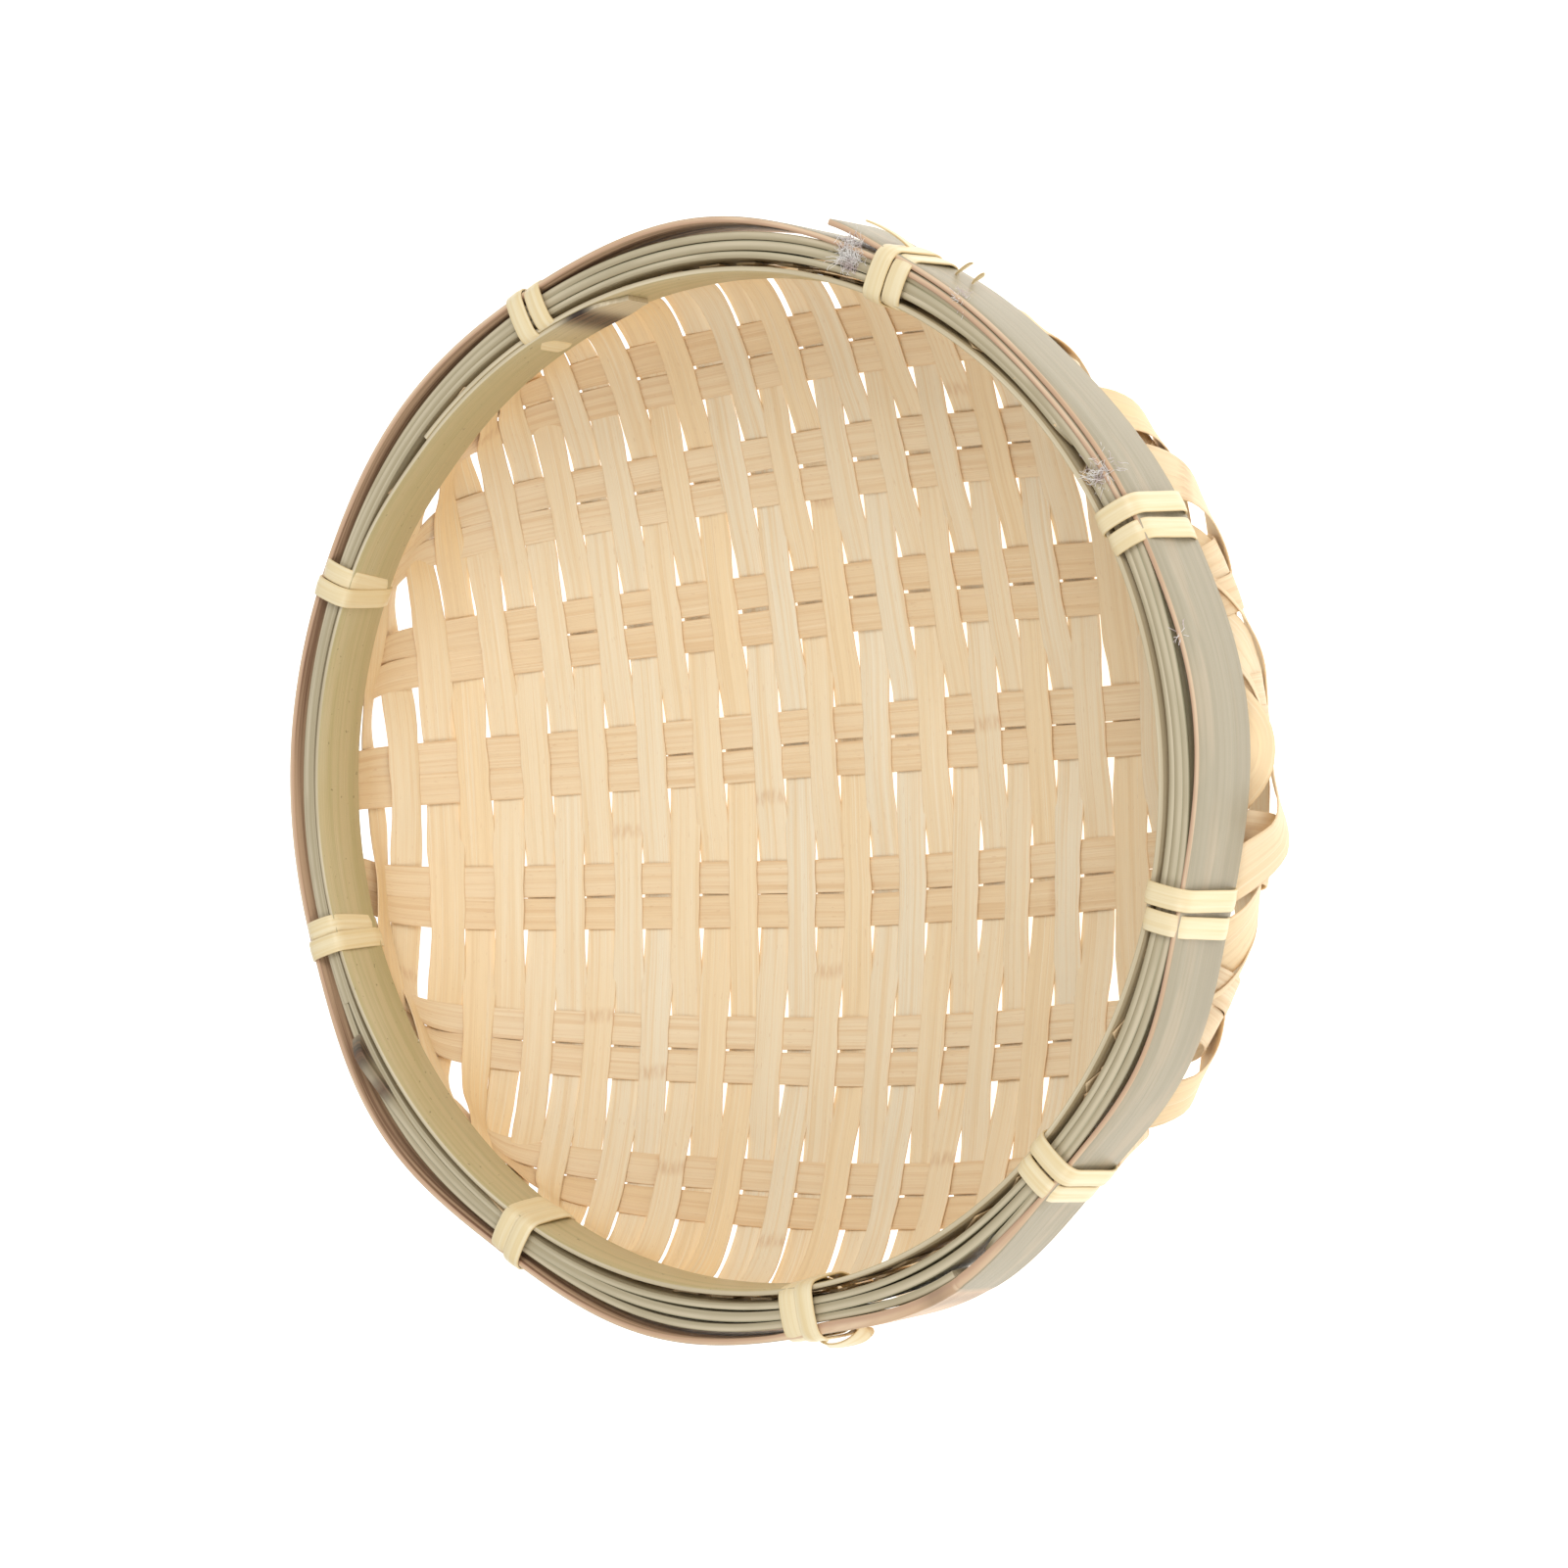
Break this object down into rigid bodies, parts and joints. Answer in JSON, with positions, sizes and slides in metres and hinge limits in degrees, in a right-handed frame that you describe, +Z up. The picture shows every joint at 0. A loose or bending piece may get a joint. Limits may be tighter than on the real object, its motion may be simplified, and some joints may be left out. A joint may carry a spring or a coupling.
{
  "type": "woven bamboo basket",
  "caption": "Shallow round woven bamboo basket: a bowl of flat splints held between bent hoops, with strip ties round the rim.",
  "frame": {"origin": "on the surface the basket stands on, under the middle of its rim", "axes": "+Z up through the open mouth; the single splints run along X and the paired splints along Y"},
  "size_m": [0.1994, 0.1999, 0.0588],
  "materials": {
    "warp_splint": "smooth split bamboo, satin",
    "weft_splint": "smooth split bamboo, satin",
    "outer_hoop": "dry green bamboo skin, satin",
    "inner_hoop": "olive bamboo skin, satin",
    "filler": "green bamboo strip on edge, satin",
    "tie": "smooth pale strip, satin"
  },
  "bodies": {
    "root": {"warp_01": "warp_splint", "warp_02": "warp_splint", "warp_03": "warp_splint", "warp_04": "warp_splint", "warp_05": "warp_splint", "warp_06": "warp_splint", "warp_07": "warp_splint", "warp_08": "warp_splint", "warp_09": "warp_splint", "warp_10": "warp_splint", "warp_11": "warp_splint", "warp_12": "warp_splint", "warp_13": "warp_splint", "warp_14": "warp_splint", "warp_15": "warp_splint", "warp_16": "warp_splint", "warp_17": "warp_splint", "warp_18": "warp_splint", "warp_19": "warp_splint", "warp_20": "warp_splint", "warp_21": "warp_splint", "warp_22": "warp_splint", "warp_23": "warp_splint", "warp_24": "warp_splint", "warp_25": "warp_splint", "warp_26": "warp_splint", "warp_27": "warp_splint", "warp_28": "warp_splint", "warp_29": "warp_splint", "warp_30": "warp_splint", "warp_31": "warp_splint", "warp_32": "warp_splint", "warp_33": "warp_splint", "weft_01": "weft_splint", "weft_02": "weft_splint", "weft_03": "weft_splint", "weft_04": "weft_splint", "weft_05": "weft_splint", "weft_06": "weft_splint", "weft_07": "weft_splint", "weft_08": "weft_splint", "weft_09": "weft_splint", "weft_10": "weft_splint", "weft_11": "weft_splint", "weft_12": "weft_splint", "weft_13": "weft_splint", "weft_14": "weft_splint", "outer_hoop": "outer_hoop", "inner_hoop": "inner_hoop", "filler_1": "filler", "filler_2": "filler", "tie_1": "tie", "tie_2": "tie", "tie_3": "tie", "tie_4": "tie", "tie_5": "tie", "tie_6": "tie", "tie_7": "tie", "tie_8": "tie", "tie_9": "tie"}
  },
  "joints": []
}
